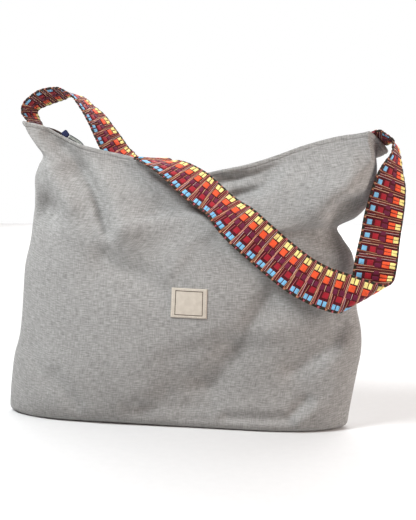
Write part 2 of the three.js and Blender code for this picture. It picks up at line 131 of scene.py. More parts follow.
# Sharper creases, each a line of (x, z) places: half width on the left and on the right as one walks along
# it, and height at its start and at its end
FRONT_CREASES = (
    (((-0.186, 0.364), (-0.156, 0.34), (-0.137, 0.32), (-0.12, 0.294), (-0.109, 0.267), (-0.101, 0.25)),
     0.015, 0.0045, -0.008, -0.012),
    (((-0.172, 0.34), (-0.148, 0.314), (-0.132, 0.288), (-0.121, 0.262)), 0.011, 0.018, 0.002, 0.003),
    (((-0.147, 0.3506), (-0.126, 0.328), (-0.108, 0.301), (-0.096, 0.272), (-0.088, 0.254)),
     0.022, 0.01, 0.004, 0.007),
    (((-0.207, 0.28), (-0.186, 0.271)), 0.018, 0.018, -0.04, -0.014),
    (((-0.168, 0.356), (-0.128, 0.34), (-0.089, 0.33), (-0.05, 0.317)), 0.007, 0.015, -0.001, -0.006),
    (((0.018, 0.278), (-0.019, 0.2735), (-0.05, 0.268), (-0.08, 0.264)), 0.004, 0.026, -0.015, -0.001),
    (((0.014, 0.267), (-0.019, 0.263), (-0.05, 0.257), (-0.089, 0.25)), 0.014, 0.008, 0.004, 0.001),
    (((-0.104, 0.218), (-0.088, 0.204), (-0.066, 0.195)), 0.016, 0.014, -0.004, -0.003),
    (((-0.088, 0.241), (-0.07, 0.236)), 0.02, 0.02, 0.003, 0.003),
    (((-0.021, 0.195), (-0.008, 0.218), (0.005, 0.237), (0.026, 0.249)), 0.014, 0.01, 0.0025, 0.003),
    (((0.04, 0.312), (0.079, 0.318), (0.103, 0.326), (0.13, 0.338)), 0.006, 0.012, -0.013, -0.001),
    (((0.046, 0.302), (0.088, 0.307)), 0.008, 0.008, 0.003, 0.002),
    (((0.058, 0.29), (0.083, 0.298), (0.106, 0.315)), 0.012, 0.005, -0.02, -0.005),
    (((0.066, 0.281), (0.091, 0.29), (0.113, 0.306)), 0.008, 0.012, 0.003, 0.003),
    (((0.168, 0.26), (0.169, 0.274), (0.175, 0.286), (0.188, 0.2945), (0.208, 0.3)),
     0.03, 0.006, 0.011, 0.016),
    (((0.175, 0.257), (0.178, 0.27), (0.186, 0.281), (0.204, 0.2895)), 0.007, 0.018, -0.014, -0.022),
    (((0.14, 0.256), (0.19, 0.236)), 0.02, 0.016, -0.003, -0.004),
    (((0.112, 0.19), (0.09, 0.154), (0.066, 0.116), (0.045, 0.094), (0.02, 0.068)),
     0.036, 0.008, -0.005, -0.006),
    (((0.06, 0.106), (0.105, 0.106), (0.135, 0.114), (0.158, 0.122)), 0.018, 0.036, -0.009, -0.006),
    (((0.198, 0.134), (0.18, 0.11), (0.156, 0.094), (0.129, 0.08)), 0.014, 0.01, -0.006, -0.004),
    (((0.203, 0.112), (0.176, 0.088)), 0.013, 0.01, 0.004, 0.003),
    (((0.051, 0.117), (0.013, 0.105), (-0.021, 0.094)), 0.014, 0.011, -0.004, -0.002),
    (((0.01, 0.052), (0.13, 0.054)), 0.044, 0.04, -0.015, -0.014),
    (((-0.11, 0.19), (-0.03, 0.178)), 0.034, 0.026, -0.004, -0.003),
    (((-0.026, 0.044), (-0.058, 0.025)), 0.014, 0.012, -0.004, -0.004),
    (((-0.075, 0.024), (-0.013, 0.027), (0.03, 0.031)), 0.009, 0.011, -0.004, -0.002),
    (((-0.172, 0.06), (-0.145, 0.026)), 0.013, 0.013, -0.004, -0.004),
    (((0.052, 0.017), (0.127, 0.018), (0.148, 0.04)), 0.008, 0.008, -0.004, -0.005),
    (((0.14, 0.015), (0.162, 0.032)), 0.008, 0.009, 0.004, 0.003),
    (((0.186, 0.03), (0.198, 0.046)), 0.008, 0.008, -0.004, -0.004),
    (((-0.214, 0.094), (-0.186, 0.051)), 0.015, 0.015, -0.004, -0.003),
)
BACK_CREASES = (
    (((-0.15, 0.326), (-0.118, 0.282), (-0.1, 0.25)), 0.02, 0.006, -0.006, -0.007),
    (((-0.16, 0.318), (-0.128, 0.274)), 0.007, 0.013, 0.003, 0.003),
    (((0.148, 0.318), (0.116, 0.284), (0.09, 0.25)), 0.006, 0.02, -0.006, -0.006),
    (((-0.04, 0.284), (0.01, 0.28), (0.055, 0.284)), 0.018, 0.006, -0.006, -0.004),
    (((0.14, 0.15), (0.1, 0.11), (0.06, 0.06)), 0.01, 0.01, -0.005, -0.005),
    (((-0.2, 0.12), (-0.165, 0.088), (-0.13, 0.05)), 0.012, 0.01, -0.005, -0.004),
    (((-0.06, 0.2), (-0.01, 0.19), (0.04, 0.172)), 0.012, 0.012, -0.004, -0.003),
    (((-0.12, 0.022), (-0.02, 0.02), (0.08, 0.024)), 0.007, 0.007, -0.003, -0.004),
)

# Soft unevenness of worn cloth: size of the ripples and their height
RIPPLES = ((0.055, 0.0007), (0.021, 0.00012))

# Where all of these set in: as a share of the half width from the seams, and as shares of the rise
WORN_FROM = {"seam": (0, 0.16), "fold": (0.03, 0.1), "crease": (0.005, 0.045)}

# The hem: how far below the rim, how far the cloth stands out there, and how far it reaches inwards
HEM_ROWS = (
    (0.0086, 0.0000, 0.0018),
    (0.0074, -0.0002, 0.0020),
    (0.0066, -0.0002, 0.0021),
    (0.0060, 0.0003, 0.0018),
    (0.0054, 0.0007, 0.0018),
    (0.0044, 0.0009, 0.0022),
    (0.0034, 0.0008, 0.0022),
    (0.0026, 0.0011, 0.0024),
    (0.0014, 0.0011, 0.0024),
    (0.0006, 0.0008, 0.0021),
    (0.0000, -0.0002, 0.0013),
)
HEM_STITCH = {"below": 0.0033, "proud": 0.0009, "half": 0.0013, "pitch": 0.0036, "radius": 0.00036}
HEM_LINE = {"ends": 0.985, "steps": 900, "rise": 0.002}

# A stitch: place along and share of the radius at each ring, points in a ring, and how flat it lies
THREAD_RINGS = ((-1.0, 0.3), (-0.8, 0.8), (0.0, 1.0), (0.8, 0.8), (1.0, 0.3))
THREAD_SIDES = 6
THREAD_FLAT = 0.8

# The strap, as the front and back edges of the band: from inside the left tip over the arch to the rim
STRAP_ARCH = (
    ((-0.1995, -0.025, 0.368), (-0.1995, 0.025, 0.368)),
    ((-0.21, -0.025, 0.387), (-0.21, 0.025, 0.387)),
    ((-0.2175, -0.025, 0.398), (-0.2165, 0.025, 0.402)),
    ((-0.215, -0.025, 0.409), (-0.214, 0.024, 0.408)),
    ((-0.208, -0.023, 0.417), (-0.206, 0.025, 0.412)),
    ((-0.196, -0.021, 0.425), (-0.193, 0.027, 0.416)),
    ((-0.182, -0.02, 0.428), (-0.178, 0.028, 0.42)),
    ((-0.168, -0.018, 0.426), (-0.164, 0.03, 0.424)),
    ((-0.154, -0.017, 0.419), (-0.152, 0.031, 0.421)),
    ((-0.143, -0.015, 0.405), (-0.143, 0.032, 0.413)),
    ((-0.132, -0.011, 0.385), (-0.127, 0.033, 0.4)),
    ((-0.125, -0.008, 0.368), (-0.115, 0.034, 0.384)),
    ((-0.119, -0.005, 0.353), (-0.104, 0.036, 0.3685)),
    ((-0.111, -0.003, 0.34), (-0.0925, 0.038, 0.353)),
    ((-0.1, -0.003, 0.333), (-0.077, 0.039, 0.3455)),
    ((-0.083, -0.0015, 0.3345), (-0.061, 0.0425, 0.342)),
)

# Then over the rim and down the front. None means that the band lies on the panel there.
STRAP_FRONT = (
    ((-0.069, 0.0, 0.3385), (-0.049, 0.042, 0.3408)),
    ((-0.06, -0.01, 0.3395), (-0.041, 0.034, 0.3398)),
    ((-0.053, -0.025, 0.335), (-0.036, 0.02, 0.339)),
    ((-0.045, -0.034, 0.329), (-0.031, 0.009, 0.3395)),
    ((-0.025, -0.04, 0.314), (-0.004, -0.005, 0.332)),
    ((-0.001, -0.046, 0.292), (0.024, -0.017, 0.317)),
    ((0.028, -0.054, 0.265), (0.057, None, 0.297)),
    ((0.061, None, 0.233), (0.092, None, 0.27)),
    ((0.092, None, 0.206), (0.123, None, 0.242)),
    ((0.129, -0.061, 0.182), (0.151, -0.06, 0.218)),
    ((0.157, -0.057, 0.168), (0.175, -0.057, 0.204)),
)

# The bend at the lower right: where it starts, the band's heading before and after, and its length
BEND = {"start": (0.200, -0.056, 0.175), "heading": (0.955, 0, -0.297), "turned": (0.141, 0, 0.99)}
BEND_RADIUS = 0.011
BEND_LENGTH = {"from": -0.022, "to": 0.068, "lead": 0.012}

# From the bend up to the right tip
STRAP_UP = (
    ((0.2085, -0.034, 0.241), (0.2565, -0.018, 0.239)),
    ((0.2125, -0.03, 0.264), (0.2595, -0.012, 0.263)),
    ((0.2185, -0.027, 0.288), (0.2625, -0.003, 0.285)),
    ((0.225, -0.025, 0.311), (0.264, 0.007, 0.305)),
    ((0.236, -0.026, 0.329), (0.2605, 0.0175, 0.328)),
    ((0.2435, -0.0265, 0.343), (0.2575, 0.021, 0.3405)),
    ((0.2435, -0.0245, 0.356), (0.2545, 0.0235, 0.35)),
    ((0.2355, -0.0235, 0.364), (0.25, 0.023, 0.354)),
    ((0.224, -0.021, 0.3668), (0.243, 0.023, 0.3547)),
    ((0.2135, -0.022, 0.363), (0.2325, 0.022, 0.3513)),
    ((0.2105, -0.0245, 0.351), (0.2235, 0.0235, 0.343)),
)

# The strap's weave, from the blue edge (0) to the yellow edge (1). Blocks of floating yarn: colour, place
# across, places along as shares of the repeat, length along, width across, and number of yarns.
REPEAT = 0.0161
OUTER_BLOCKS = (
    ("dark", 0.03, (0.11, 0.63), 0.004, 0.003, 2),
    ("tan", 0.026, (0.38,), 0.0017, 0.0026, 1),
    ("rose", 0.026, (0.88,), 0.0017, 0.0026, 1),
    ("blue", 0.14, (-0.155, 0.155), 0.004, 0.0066, 3),
    ("crimson", 0.345, (0.05,), 0.0068, 0.0074, 4),
    ("plum", 0.515, (0.09,), 0.005, 0.0064, 4),
    ("plum", 0.5, (0.6,), 0.005, 0.0064, 4),
    ("orange", 0.69, (0.675,), 0.0076, 0.0082, 4),
    ("yellow", 0.872, (0.53, 0.845), 0.0041, 0.0074, 3),
    ("dark", 0.97, (0.47, 0.95), 0.004, 0.003, 2),
    ("tan", 0.974, (0.7,), 0.0017, 0.0026, 1),
    ("rose", 0.974, (0.21,), 0.0017, 0.0026, 1),
)
INNER_BLOCKS = (
    ("dark", 0.03, (0.02, 0.52), 0.004, 0.0032, 2),
    ("tan", 0.026, (0.27, 0.77), 0.0017, 0.0026, 1),
    ("blue", 0.16, (0.0,), 0.006, 0.0064, 4),
    ("crimson", 0.365, (0.02,), 0.0072, 0.0076, 5),
    ("plum", 0.545, (-0.08,), 0.0052, 0.0076, 4),
    ("plum", 0.55, (0.36,), 0.0046, 0.0066, 4),
    ("orange", 0.73, (-0.1, 0.17), 0.0036, 0.0088, 5),
    ("yellow", 0.892, (-0.08, 0.17), 0.0034, 0.0068, 4),
    ("dark", 0.972, (0.05, 0.55), 0.0042, 0.0024, 2),
)

# Thin cross yarns: the colours that they take in turn, place across of the two ends, place along there
OUTER_YARNS = (
    (("beige", "tan", "beige"), 0.01, 0.99, 0.33, 0.41),
    (("rose", "tan", "rose"), 0.01, 0.74, 0.44, 0.37),
    (("tan", "beige", "lilac"), 0.01, 0.47, 0.55, 0.46),
    (("rose", "rose", "tan"), 0.01, 0.44, 0.66, 0.7),
    (("tan", "beige", "rose"), 0.27, 0.62, 0.32, 0.3),
    (("beige", "tan", "lilac"), 0.4, 0.6, 0.85, 0.83),
    (("tan", "lilac", "beige"), 0.42, 0.99, 0.29, 0.29),
    (("rose", "tan", "rose"), 0.56, 0.99, 0.16, 0.18),
    (("beige", "rose", "tan"), 0.6, 0.99, 0.03, 0.07),
    (("rust", "rose", "rust"), 0.6, 0.99, -0.08, -0.03),
)
INNER_YARNS = (
    (("lilac", "beige"), 0.01, 0.99, 0.38, 0.47),
    (("rust", "brown"), 0.01, 0.99, 0.47, 0.56),
    (("lilac", "lilac"), 0.05, 0.3, 0.55, 0.57),
    (("beige", "tan"), 0.2, 0.99, 0.6, 0.67),
    (("brown", "rust"), 0.01, 0.6, 0.68, 0.72),
    (("tan", "beige"), 0.01, 0.55, 0.76, 0.79),
)

# The ground of the strap, thinner at its edges, and the forms of a block and of a cross yarn. Stray says how
# far they lie from their places at most, and seed which way.
WEB = {"half": 0.0006, "edge": 0.5, "power": 6}
BLOCK = {"height": 0.00062, "stray": 0.00028, "seed": 5, "within": 0.93, "groove": 0.62, "side": 0.35}
BLOCK_POWERS = {"along": 5, "across": 6}
BLOCK_STATIONS = (-1.0, -0.94, -0.7, -0.25, 0.25, 0.7, 0.94, 1.0)
YARN = {"width": 0.00075, "height": 0.00042, "stray": 0.0004, "seed": 11, "step": 0.0024, "least_steps": 5}
YARN_LUMPS = {"height": 0.15, "turn": 1.9}
YARN_STATIONS = (-1.0, -0.6, 0.0, 0.6, 1.0)
FLOAT_SINK = 0.0003

# Colours as they look in even light, red, green and blue out of 255. Yarns of the strap:
YARN_COLOURS = {
    "blue": (122, 184, 222),
    "crimson": (156, 24, 40),
    "plum": (104, 26, 58),
    "orange": (234, 86, 46),
    "yellow": (240, 224, 140),
    "tan": (182, 126, 94),
    "rose": (182, 92, 98),
    "beige": (222, 180, 146),
    "brown": (104, 50, 40),
    "rust": (134, 46, 38),
    "lilac": (196, 168, 166),
    "dark": (38, 42, 30),
}

# Threads; cloth, by its dark and light tones and the pitch of its weave; tones of the ground and the label
THREAD_COLOURS = {
    "linen_thread": (164, 161, 155),
    "label_thread": (204, 196, 184),
    "tape_dark": (52, 56, 60),
}
CLOTH_COLOURS = {
    "linen": ((122, 121, 119), (162, 161, 159), 0.0009),
    "tape_grey": ((112, 116, 112), (166, 168, 160), 0.0006),
    "tab_navy": ((22, 26, 52), (44, 50, 86), 0.0006),
}
GROUND_COLOURS = ((60, 14, 22), (112, 30, 38))
LEATHER_COLOURS = {
    "label_leather": ((182, 173, 161), (192, 184, 172)),
    "label_line": ((74, 66, 56), (92, 82, 70)),
}

# Finishes: roughness and sheen, streaks by their number in a metre each way, how much each counts, where the
# tones of a ramp lie, and the depth and strength of the relief
SPECULAR = 0.2
WEAVE_SHARES = (0.65, 0.35)
LINEN_LOOK = {
    "surface": (0.95, 0.08), "streaks": ((110, 800), (800, 90), (24, 24, 4.0), (190, 800)),
    "slub_shares": (0.55, 0.35), "tone_shares": (1.0, 0.10, 0.10), "stops": (0.39, 0.51, 0.63),
    "fleck_stops": (0.70, 0.78), "fleck_gain": 1.12, "relief_shares": (0.6, 1.0), "bump": (0.0003, 0.6),
}
YARN_LOOK = {
    "streaks": ((700, 2600), (130, 130)), "shares": (0.6, 0.4), "stops": (0.30, 0.52, 0.75),
    "gains": (0.72, 1.0, 1.12), "bump": (0.0002, 0.7), "sheen": 0.15,
}
YARN_ROUGHNESS = 0.75
THREAD_ROUGHNESS = 0.8
GROUND_LOOK = {
    "surface": (0.9, 0.05), "pitch": 0.0011, "streaks": (900, 60), "shares": (0.5, 0.6),
    "stops": (0.30, 0.72), "bump": (0.0004, 0.8),
}
LEATHER_LOOK = {
    "roughness": 0.62, "pores": 1500.0, "clouds": (140.0, 5.0), "stops": (0.35, 0.65),
    "bump": (0.00012, 0.6),
}
FLOOR = {
    "half": 6.0, "colour": (212, 212, 212), "roughness": 0.9, "grain": (90.0, 3.0), "stops": (0.3, 0.7),
    "gains": (0.99, 1.0),
}

# The label: its place on the front, its size, the plain frame line on it, and its stitches
LABEL = {"x": 0.0065, "z": 0.163, "width": 0.045, "height": 0.036, "turn": -0.02}
LABEL_THICKNESS = 0.0012
LABEL_LIFT = 0.0003
LABEL_EDGE = {"reach": 0.0009, "thin": 0.45}
LABEL_STEPS = (90, 72)
LABEL_FRAME = {"side": 0.0055, "end": 0.0034, "half": 0.00055, "sunk": 0.0002}
LABEL_STITCH = {"inset": 0.0014, "half": 0.0011, "pitch": 0.0031, "radius": 0.0003}

# The pull behind the front rim: the tape's middle line, its size, and the tab at its head
PULL_TAPE = ((-0.139, 0.350), (-0.144, 0.358), (-0.151, 0.3635), (-0.1595, 0.3685))
TAPE = {"width": 0.005, "half": 0.00035, "cord": 0.0006, "depth": -0.0103}
TAPE_STEPS = {"along": 8, "across": 10}
TAPE_CORD = {"from": 0.65, "edge": 0.4}
TAB = {"x": -0.165, "z": 0.3715, "width": 0.008, "depth": 0.0034, "height": 0.009, "turn": 0.6}
TAB_STEPS = 12
TAB_ROUND = 6

# Flat sizes of the cloth, as it was cut
PANEL_CUT = {"front": (0.56, 0.45, 0.2), "back": (0.56, 0.45, 0.2)}

# The camera: which way it looks, how far it stands, and where the bag lies in the picture
CAMERA = {"azimuth": 10, "elevation": 7, "distance": 0.931, "lens": 50, "sensor": 36}
CAMERA_TARGET = (0.0162, 0.005, 0.181)
CAMERA_SHIFT = (0.001, 0.0442)

# The light: name, place, aim, size, power and colour of each panel, the tones of the room and of the wall
# behind the bag, and how far round to the back, from 0 to 1, the wall is reached
LAMPS = (
    ("key", (-0.62, -0.60, 1.20), (0.0, 0.0, 0.2), 0.35, 23.5, (0.96, 1.0, 1.02)),
    ("fill", (1.25, -0.50, 0.60), (0.0, 0.0, 0.2), 0.7, 11.0, (1.0, 0.87, 0.80)),
    ("far_floor", (0.0, 4.2, 2.4), (0.0, 4.3, 0.0), 5.6, 300.0, (1.0, 1.0, 1.0)),
)
ROOM_TONE = (0.145, 0.105, 0.09, 1.0)
WALL_TONE = (1.0, 1.0, 1.0, 1.0)
WALL_FROM = 0.35


# Straight blend, and blend with soft ends
def mix(low, high, share):
    return low + (high - low) * share


def soft(value, low, high):
    share = np.clip((value - low) / (high - low), 0, 1)
    return share * share * (3 - 2 * share)


# Vectors brought to length 1
def unit(vectors):
    vectors = np.asarray(vectors, dtype=float)
    return vectors / np.maximum(np.linalg.norm(vectors, axis=-1, keepdims=True), TINY)


# A smooth curve through one column of a table, by its first column
def curve(rows, names, name, at):
    keys = np.array([row[0] for row in rows])
    values = np.array([row[names.index(name)] for row in rows])
    slopes = np.empty(len(keys))
    slopes[1:-1] = (values[2:] - values[:-2]) / (keys[2:] - keys[:-2])
    slopes[0] = (values[1] - values[0]) / (keys[1] - keys[0])
    slopes[-1] = (values[-1] - values[-2]) / (keys[-1] - keys[-2])
    low = np.clip(np.searchsorted(keys, at) - 1, 0, len(keys) - 2)
    span = keys[low + 1] - keys[low]
    t = np.clip((at - keys[low]) / span, 0, 1)
    keep = (1 + 2 * t) * (1 - t) ** 2
    ends = t * (1 - t) ** 2 * span * slopes[low] + t**2 * (t - 1) * span * slopes[low + 1]
    return keep * values[low] + (1 - keep) * values[low + 1] + ends


# How far a set of creases moves the cloth outwards. Each falls away by its own half width on each side.
def crease_height(creases, x, z):
    place = x + 1j * z
    height = np.zeros(np.shape(x))
    for line, left, right, first, last in creases:
        points = [complex(*point) for point in line]
        runs = np.diff(points)
        lengths = np.abs(runs)
        nearest = np.full(np.shape(x), np.inf)
        away = np.zeros(np.shape(x))
        for index, (start, run, length) in enumerate(zip(points, runs, lengths)):
            share = np.clip(((place - start) / run).real, 0, 1)
            gap = place - start - share * run
            apart = np.abs(gap)
            side = (gap / run).imag * length / np.maximum(apart, TINY)
            half = mix(right, left, (side + 1) / 2)
            rise = mix(first, last, (lengths[:index].sum() + share * length) / lengths.sum())
            away = np.where(apart < nearest, rise * np.exp(-((apart / half) ** 2)), away)
            nearest = np.minimum(apart, nearest)
        height += away
    return height


# A fold is a straight crease, the same on both sides and at both ends
def fold_height(folds, x, z):
    rows = [(((x1, z1), (x2, z2)), half, half, rise, rise) for x1, z1, x2, z2, half, rise in folds]
    return crease_height(rows, x, z)


# Soft ripples, the same on each run
def ripple_height(x, z, seed):
    height = np.zeros(x.size)
    for size, rise in RIPPLES:
        for index, (px, pz) in enumerate(zip(x.flat, z.flat)):
            height[index] += rise * noise.noise(Vector((px / size, pz / size, seed)))
    return height.reshape(x.shape)


def base_height(across):
    return BASE["corner_rise"] * soft(np.abs(across), BASE["flat"], 1) ** 2


# Points of the outside of the bag on the front (side -1) or the back (side 1), with or without its folds
def wall(side, across, rise, worn=True):
    across, rise = np.broadcast_arrays(across, rise)

    def section(name):
        return curve(SECTIONS, SECTION_NAMES, name, rise)

    face = "front" if side < 0 else "back"
    reach = np.abs(across)
    blunt = section("blunt")
    turn = np.clip((reach - 1 + blunt) / blunt, 0, 1)
    belly = mix(section(face), section("tip"), reach ** ROUND["belly"])
    out = belly * (1 - turn ** ROUND["inner"]) ** (1 / ROUND["outer"])
    x = mix(section("left"), section("right"), (across + 1) / 2)
    z = mix(base_height(across), curve(RIM, RIM_NAMES, face, across), rise)
    if worn:
        folds, creases = (FRONT_FOLDS, FRONT_CREASES) if side < 0 else (BACK_FOLDS, BACK_CREASES)
        sunk = soft(rise, *WORN_FROM["fold"]) * (fold_height(folds, x, z) + ripple_height(x, z, float(side)))
        sharp = soft(rise, *WORN_FROM["crease"]) * crease_height(creases, x, z)
        out = out + soft(1 - reach, *WORN_FROM["seam"]) * (sunk + sharp)
    out = np.maximum(out, SEAM_GAP / 2)
    askew = soft(across, RIGHT_TIP["from_across"], 1) * soft(rise, RIGHT_TIP["from_rise"], 1)
    y = side * out
    drop = RIGHT_TIP["drop"] * (y + section("tip")) / (2 * section("tip"))
    return np.stack([x + askew * RIGHT_TIP["skew"] * y, y, z - askew * drop], axis=-1)


# Points of the base, from the seam along its middle (share 0) to its edge (share 1)
def base(side, across, share):
    edge = wall(side, across, 0.0)
    inner = across * BASE["seam"]
    x = mix(SECTIONS[0][1], SECTIONS[0][2], (inner + 1) / 2)
    seam = np.stack([x, np.full(x.shape, side * SEAM_GAP / 2), base_height(inner)], axis=-1)
    return mix(seam, edge, share)


# Outward directions of a grid of points
def grid_normals(grid):
    return unit(np.cross(np.gradient(grid, axis=1), np.gradient(grid, axis=0)))


# Lengths along one axis of a grid of points, from its start, and along a single line of points
def run_lengths(grid, axis):
    steps = np.linalg.norm(np.diff(grid, axis=axis), axis=2)
    pad = [(0, 0), (0, 0)]
    pad[axis] = (1, 0)
    return np.cumsum(np.pad(steps, pad), axis=axis)


def line_lengths(line):
    return run_lengths(line[:, None], 0).ravel()


# Numbers of the points of a grid, and its faces; the same faces the other way round
def grid_faces(rows, columns):
    index = np.arange(rows * columns).reshape(rows, columns)
    corners = (index[:-1, :-1], index[:-1, 1:], index[1:, 1:], index[1:, :-1])
    return index, np.stack(corners, axis=-1).reshape(-1, 4)


def turned(faces):
    return faces[:, [0, 3, 2, 1]]


# Points and faces of a closed slab between an outer and an inner grid
def slab(outer, inner, flip=False):
    points = np.concatenate([outer.reshape(-1, 3), inner.reshape(-1, 3)])
    index, front = grid_faces(*outer.shape[:2])
    back = index.size

    def rim(line):
        return np.stack([line[:-1], line[1:], line[1:] + back, line[:-1] + back], axis=-1)

    edges = [rim(index[:, 0]), rim(index[::-1, -1]), rim(index[0, ::-1]), rim(index[-1])]
    faces = np.concatenate([front, turned(front) + back] + edges)
    return points, faces[:, ::-1] if flip else faces


# Cloth coordinates for both grids of a slab
def both_sides(*cloth):
    return np.tile(np.stack(cloth, axis=-1).reshape(-1, 2), (2, 1))


def add_object(name, data):
    made = bpy.data.objects.new(name, data)
    bpy.context.scene.collection.objects.link(made)
    return made


# A mesh piece in the frame, from points in the tables' own place
def make_piece(name, points, faces, materials, slots=None, uvs=None):
    mesh = bpy.data.meshes.new(name)
    mesh.from_pydata((np.asarray(points) - MIDDLE).tolist(), [], [list(face) for face in faces])
    for material in materials:
        mesh.materials.append(material)
    if slots is not None:
        mesh.polygons.foreach_set("material_index", np.asarray(slots, dtype=np.int32))
    if uvs is not None:
        layer = mesh.uv_layers.new(name="UVMap")
        corners = np.empty(len(mesh.loops), dtype=np.int32)
        mesh.loops.foreach_get("vertex_index", corners)
        layer.data.foreach_set("uv", np.asarray(uvs, dtype=np.float32)[corners].ravel())
    mesh.shade_smooth()
    mesh.validate()
    piece = add_object(name, mesh)
    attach(piece, "root")
    return piece


# Colour as the shaders take it, from red, green and blue out of 255
def colour(rgb, gain=1.0):
    shares = np.clip(np.array(rgb) / 255 * gain, 0, 1)
    linear = np.where(shares <= 0.04045, shares / 12.92, ((shares + 0.055) / 1.055) ** 2.4)
    return (*linear.tolist(), 1.0)


# A node with its settings and inputs; an input is a value or another node's output
def add_node(tree, kind, inputs=None, **settings):
    made = tree.nodes.new(kind)
    for name, value in settings.items():
        setattr(made, name, value)
    for key, value in (inputs or {}).items():
        if isinstance(value, bpy.types.NodeSocket):
            tree.links.new(value, made.inputs[key])
        else:
            made.inputs[key].default_value = value
    return made


def start_material(name, roughness, sheen=0.0):
    material = bpy.data.materials.new(name)
    material.use_nodes = True
    inputs = material.node_tree.nodes["Principled BSDF"].inputs
    inputs["Roughness"].default_value = roughness
    inputs["Specular IOR Level"].default_value = SPECULAR
    inputs["Sheen Weight"].default_value = sheen
    return material, material.node_tree


# A material given its colour and, by depth and strength, its relief
def dress(material, shade, height=None, bump=None):
    tree = material.node_tree
    inputs = tree.nodes["Principled BSDF"].inputs
    tree.links.new(shade, inputs["Base Color"])
    if bump:
        relief = {"Height": height, "Distance": bump[0], "Strength": bump[1]}
        tree.links.new(add_node(tree, "ShaderNodeBump", relief).outputs["Normal"], inputs["Normal"])
    return material


def math_node(tree, operation, first, second=0.0):
    return add_node(tree, "ShaderNodeMath", {0: first, 1: second}, operation=operation).outputs[0]


# The sum of some outputs, each times its own share
def weighted(tree, outputs, shares):
    total = 0.0
    for output, share in zip(outputs, shares):
        total = math_node(tree, "ADD", math_node(tree, "MULTIPLY", output, share), total)
    return total


def noise_node(tree, place, scale, detail):
    inputs = {"Vector": place, "Scale": scale, "Detail": detail}
    return add_node(tree, "ShaderNodeTexNoise", inputs).outputs["Fac"]


# Places on the cloth in metres, and noise there, drawn out by its own number in each direction
def cloth_place(tree):
    return add_node(tree, "ShaderNodeUVMap", uv_map="UVMap").outputs["UV"]


def streaks(tree, place, across, along, detail=2.0):
    mapped = add_node(tree, "ShaderNodeMapping", {"Vector": place, "Scale": (across, along, 1)})
    return noise_node(tree, mapped.outputs[0], 1.0, detail)


def ramp(tree, factor, stops, tones):
    made = add_node(tree, "ShaderNodeValToRGB", {"Fac": factor})
    elements = made.color_ramp.elements
    while len(elements) < len(stops):
        elements.new(0.5)
    for element, stop, tone in zip(elements, stops, tones):
        element.position = stop
        element.color = tone
    return made.outputs["Color"]


# Plain weave of round threads at a given pitch, as a height from 0 to 1
def plain_weave(tree, place, pitch):
    split = add_node(tree, "ShaderNodeSeparateXYZ", {"Vector": place})
    turns = [math_node(tree, "MULTIPLY", split.outputs[axis], math.pi / pitch) for axis in (0, 1)]
    waves = [math_node(tree, "SINE", turn) for turn in turns]
    rounds = [math_node(tree, "ABSOLUTE", wave) for wave in waves]
    return weighted(tree, [math_node(tree, "MULTIPLY", *pair) for pair in (rounds, waves)], WEAVE_SHARES)


# Linen: a slubby plain weave in two close tones, with a few pale flecks
def linen_material(name, dark, light, pitch):
    look = LINEN_LOOK
    material, tree = start_material(name, *look["surface"])
    place = cloth_place(tree)
    weft, warp, clouds, flecks = (streaks(tree, place, *numbers) for numbers in look["streaks"])
    weave = plain_weave(tree, place, pitch)
    slubs = weighted(tree, (weft, warp), look["slub_shares"])
    tone = weighted(tree, (slubs, clouds, weave), look["tone_shares"])
    middle = mix(np.array(dark), np.array(light), 0.5)
    shade = ramp(tree, tone, look["stops"], [colour(rgb) for rgb in (dark, middle, light)])
    fleck = ramp(tree, flecks, look["fleck_stops"], ((0, 0, 0, 1), (1, 1, 1, 1)))
    inputs = {0: fleck, 6: shade, 7: colour(light, look["fleck_gain"])}
    flecked = add_node(tree, "ShaderNodeMix", inputs, data_type="RGBA").outputs[2]
    return dress(material, flecked, weighted(tree, (weave, slubs), look["relief_shares"]), look["bump"])


# Yarn of one colour: fine twisted fibres and small differences of tone
def yarn_material(name, rgb, roughness):
    look = YARN_LOOK
    material, tree = start_material(name, roughness, look["sheen"])
    place = cloth_place(tree)
    fibres, blocks = (streaks(tree, place, *numbers) for numbers in look["streaks"])
    tone = weighted(tree, (fibres, blocks), look["shares"])
    shade = ramp(tree, tone, look["stops"], [colour(rgb, gain) for gain in look["gains"]])
    return dress(material, shade, fibres, look["bump"])


# The ground of the strap: fine dark ribs between the floats
def ground_material(name, tones):
    look = GROUND_LOOK
    material, tree = start_material(name, *look["surface"])
    place = cloth_place(tree)
    ribs = plain_weave(tree, place, look["pitch"])
    tone = weighted(tree, (ribs, streaks(tree, place, *look["streaks"])), look["shares"])
    shade = ramp(tree, tone, look["stops"], [colour(rgb) for rgb in tones])
    return dress(material, shade, ribs, look["bump"])


# Pale smooth leather with a fine grain
def leather_material(name, tones):
    look = LEATHER_LOOK
    material, tree = start_material(name, look["roughness"])
    place = add_node(tree, "ShaderNodeTexCoord").outputs["Object"]
    pores = add_node(tree, "ShaderNodeTexVoronoi", {"Vector": place, "Scale": look["pores"]})
    clouds = noise_node(tree, place, *look["clouds"])
    shade = ramp(tree, clouds, look["stops"], [colour(rgb) for rgb in tones])
    height = math_node(tree, "ADD", pores.outputs["Distance"], clouds)
    return dress(material, shade, height, look["bump"])


def floor_material(name):
    material, tree = start_material(name, FLOOR["roughness"])
    grain = noise_node(tree, add_node(tree, "ShaderNodeTexCoord").outputs["Object"], *FLOOR["grain"])
    tones = [colour(FLOOR["colour"], gain) for gain in FLOOR["gains"]]
    return dress(material, ramp(tree, grain, FLOOR["stops"], tones))


